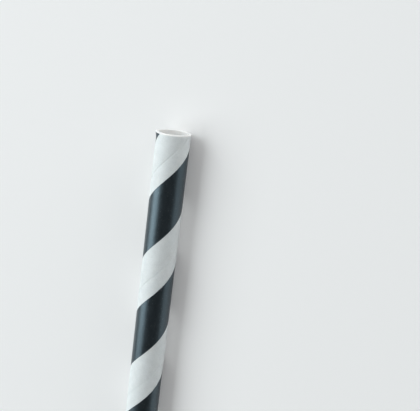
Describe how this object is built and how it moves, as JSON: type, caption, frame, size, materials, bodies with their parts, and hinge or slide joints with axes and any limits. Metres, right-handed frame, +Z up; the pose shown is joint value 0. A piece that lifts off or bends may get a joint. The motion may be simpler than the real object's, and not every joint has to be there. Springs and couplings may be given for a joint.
{
  "type": "paper drinking straw",
  "caption": "Straight paper drinking straw wound from glued paper tape, with a wide black and white helical stripe; open at both ends to suck a drink through.",
  "frame": {"origin": "on the ground, under the middle of the straw as it lies", "axes": "+X along the straw towards the mouth end, +Z up, +Y to the left seen from the far end looking towards the mouth"},
  "size_m": [0.197, 0.006, 0.0059],
  "materials": {
    "white_paper": "uncoated matt white paper with fine fibre grain",
    "black_print": "black ink printed solid on the paper, satin sheen"
  },
  "bodies": {
    "root": {"paper_tube": "white_paper", "black_stripe": "black_print"}
  },
  "joints": []
}
